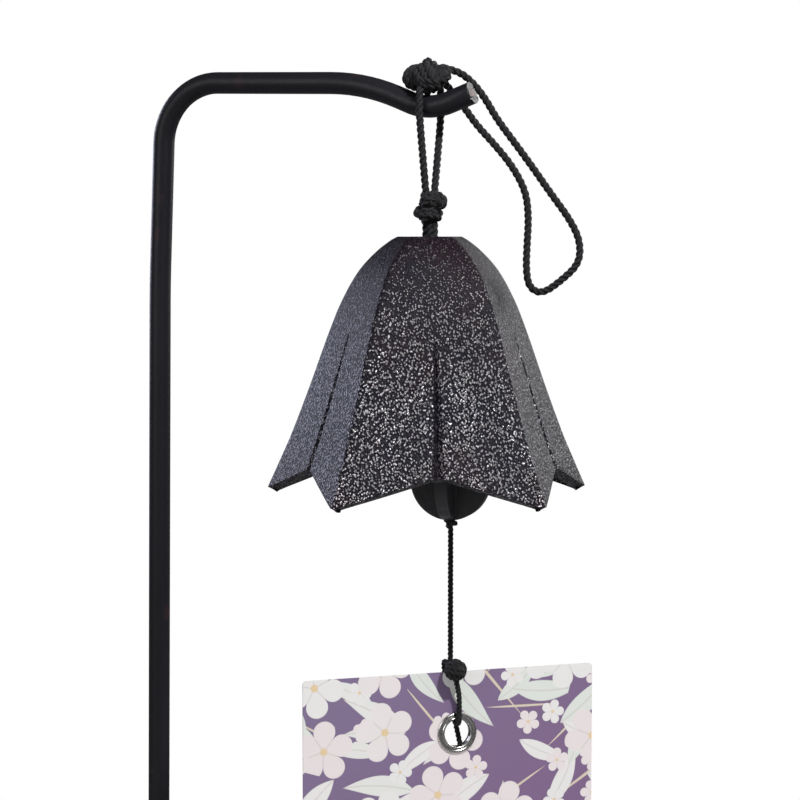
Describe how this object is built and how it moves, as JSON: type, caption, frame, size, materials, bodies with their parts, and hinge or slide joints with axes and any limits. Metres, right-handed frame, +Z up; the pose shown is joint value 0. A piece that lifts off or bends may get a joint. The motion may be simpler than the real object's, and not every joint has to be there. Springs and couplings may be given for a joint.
{
  "type": "wind bell on a desk stand",
  "caption": "Petalled cast-iron wind bell hung by a knotted cord from a bent-rod desk stand, with a crossed-plate clapper and a printed card strip.",
  "frame": {"origin": "centre of the foot pad's underside", "axes": "+Z up; +X along the stand's arm from the post towards its tip; +Y to the back, where the spare loop of cord hangs"},
  "size_m": [0.1251, 0.12, 0.3562],
  "materials": {
    "stand_paint": "black satin paint, bare metal at the arm's cut end",
    "foot_rubber": "matt black pad",
    "screw_steel": "plain steel",
    "bell_iron": "black-painted sand-cast iron with a fine grainy skin",
    "clapper_iron": "smooth black semi-gloss",
    "cord_black": "black twisted cord",
    "string_black": "thinner black twisted string",
    "card": "stiff purple card with a pale blossom and leaf print",
    "nickel": "nickel-plated"
  },
  "bodies": {
    "stand": {"base_foot": "foot_rubber", "base_plate": "stand_paint", "base_screw": "screw_steel", "stand_rod": "stand_paint"},
    "hanger": {"top_knot": "cord_black", "free_loop": "cord_black", "front_strand": "cord_black", "back_strand": "cord_black", "lower_knot": "cord_black"},
    "neck": {"neck_cord": "cord_black", "stopper_knot": "cord_black"},
    "bell": {"bell": "bell_iron"},
    "tie": {"string_tie": "string_black"},
    "clapper": {"clapper_string": "string_black", "clapper": "clapper_iron", "clapper_knot": "string_black"},
    "strip_string": {"strip_string": "string_black"},
    "strip_loop": {"strip_knot": "string_black", "strip_loop": "string_black", "string_tail": "string_black"},
    "strip": {"paper_strip": "card", "eyelet": "nickel", "eyelet_washer": "nickel"}
  },
  "joints": [
    {"name": "hanger_sway", "type": "hinge", "parent": "stand", "child": "hanger", "pos_m": [0.0285, 0, 0.3457], "axis": [1, 0, 0], "range_deg": [-22, 22]},
    {"name": "neck_rock", "type": "hinge", "parent": "hanger", "child": "neck", "pos_m": [0.0285, 0, 0.31775], "axis": [0, 1, 0], "range_deg": [-6, 6]},
    {"name": "bell_spin", "type": "hinge", "parent": "neck", "child": "bell", "pos_m": [0.0285, 0, 0.3153], "axis": [0, 0, 1], "continuous": true},
    {"name": "clapper_swing", "type": "hinge", "parent": "neck", "child": "tie", "pos_m": [0.0339, 0, 0.3055], "axis": [0, 1, 0], "range_deg": [-11, 15]},
    {"name": "clapper_rock", "type": "hinge", "parent": "tie", "child": "clapper", "pos_m": [0.0339, 0, 0.3055], "axis": [1, 0, 0], "range_deg": [-10, 10]},
    {"name": "string_sway", "type": "hinge", "parent": "clapper", "child": "strip_string", "pos_m": [0.0339, 0, 0.24785], "axis": [0.7254, 0.6884, 0], "range_deg": [-20, 20]},
    {"name": "strip_twist", "type": "hinge", "parent": "strip_string", "child": "strip_loop", "pos_m": [0.0339, 0, 0.21505], "axis": [0, 0, 1], "range_deg": [-180, 180]},
    {"name": "strip_swing", "type": "hinge", "parent": "strip_loop", "child": "strip", "pos_m": [0.03419, 0.00303, 0.19925], "axis": [-0.6884, 0.7254, 0], "range_deg": [-15, 15]}
  ]
}
